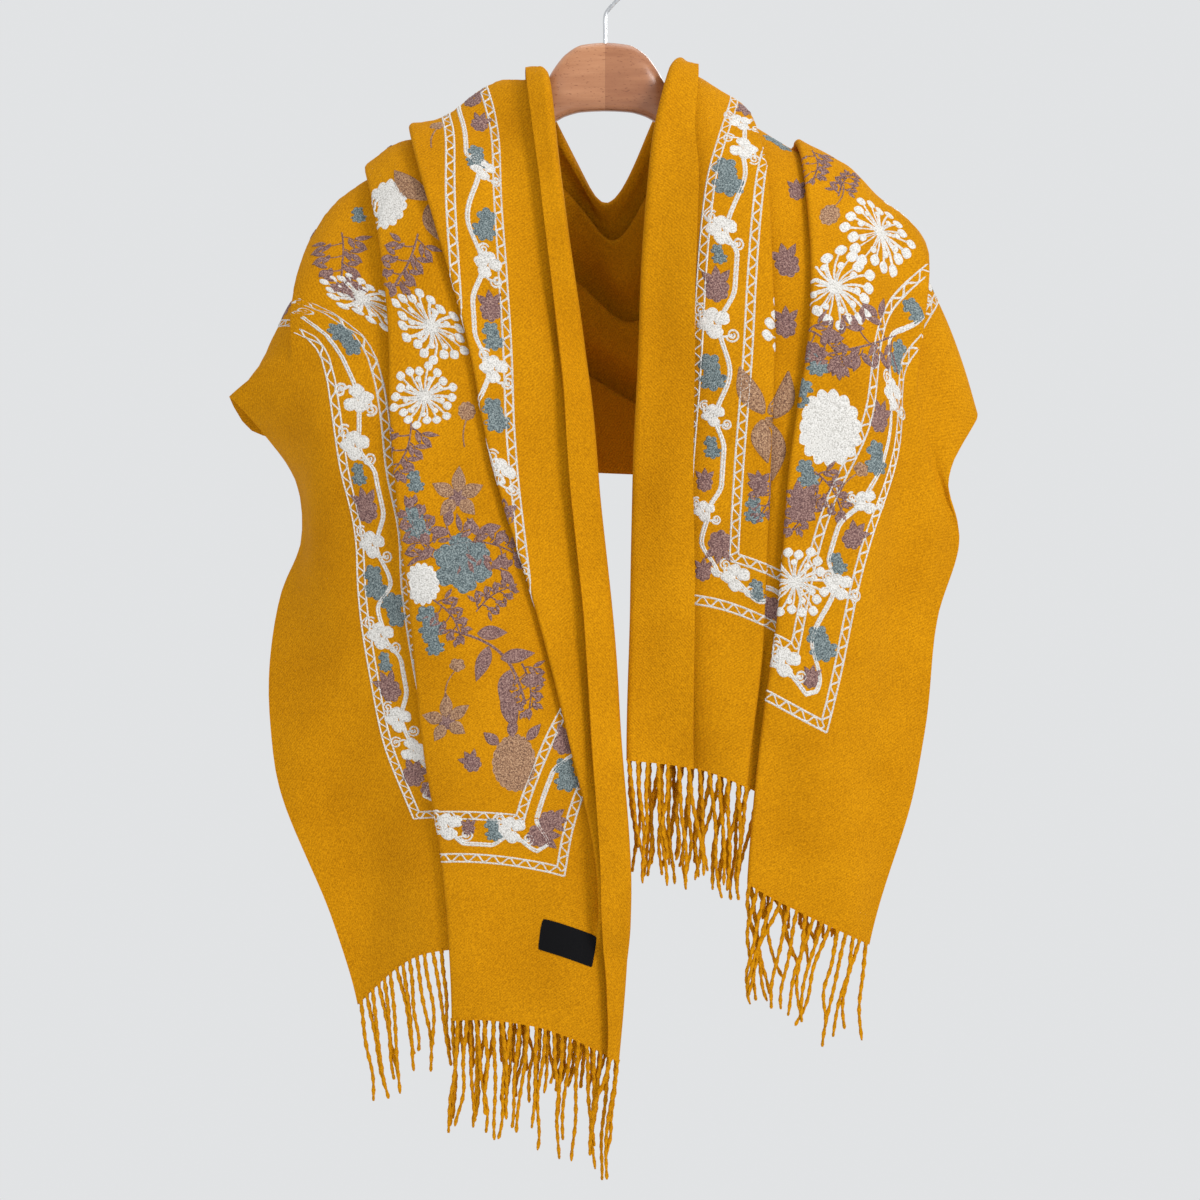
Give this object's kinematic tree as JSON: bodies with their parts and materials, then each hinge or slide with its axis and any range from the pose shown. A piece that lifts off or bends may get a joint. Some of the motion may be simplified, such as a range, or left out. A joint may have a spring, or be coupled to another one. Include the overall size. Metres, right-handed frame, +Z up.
{
  "type": "fringed wool shawl on a wooden hanger",
  "caption": "Wide fringed shawl draped over a plain wooden clothes hanger, turned over at the collar and laid in soft pleats, with a bare label near one hem.",
  "frame": {"origin": "inner top of the hanger's hook, where it bears on a rail", "axes": "+X to the right seen from the front, +Y away from the front, +Z up"},
  "size_m": [0.722, 0.2085, 1.1833],
  "materials": {
    "cloth": "mustard wool twill with a soft nap",
    "label": "black woven satin, bare",
    "wood": "clear satin lacquer over beech",
    "steel": "nickelled wire"
  },
  "bodies": {
    "root": {"shawl_left_front": "cloth", "shawl_left_shoulder": "cloth", "shawl_back": "cloth", "shawl_right_shoulder": "cloth", "shawl_right_front": "cloth", "fringe_left": "cloth", "fringe_right": "cloth", "label": "label", "hanger_wood": "wood", "hanger_hook": "steel"}
  },
  "joints": []
}
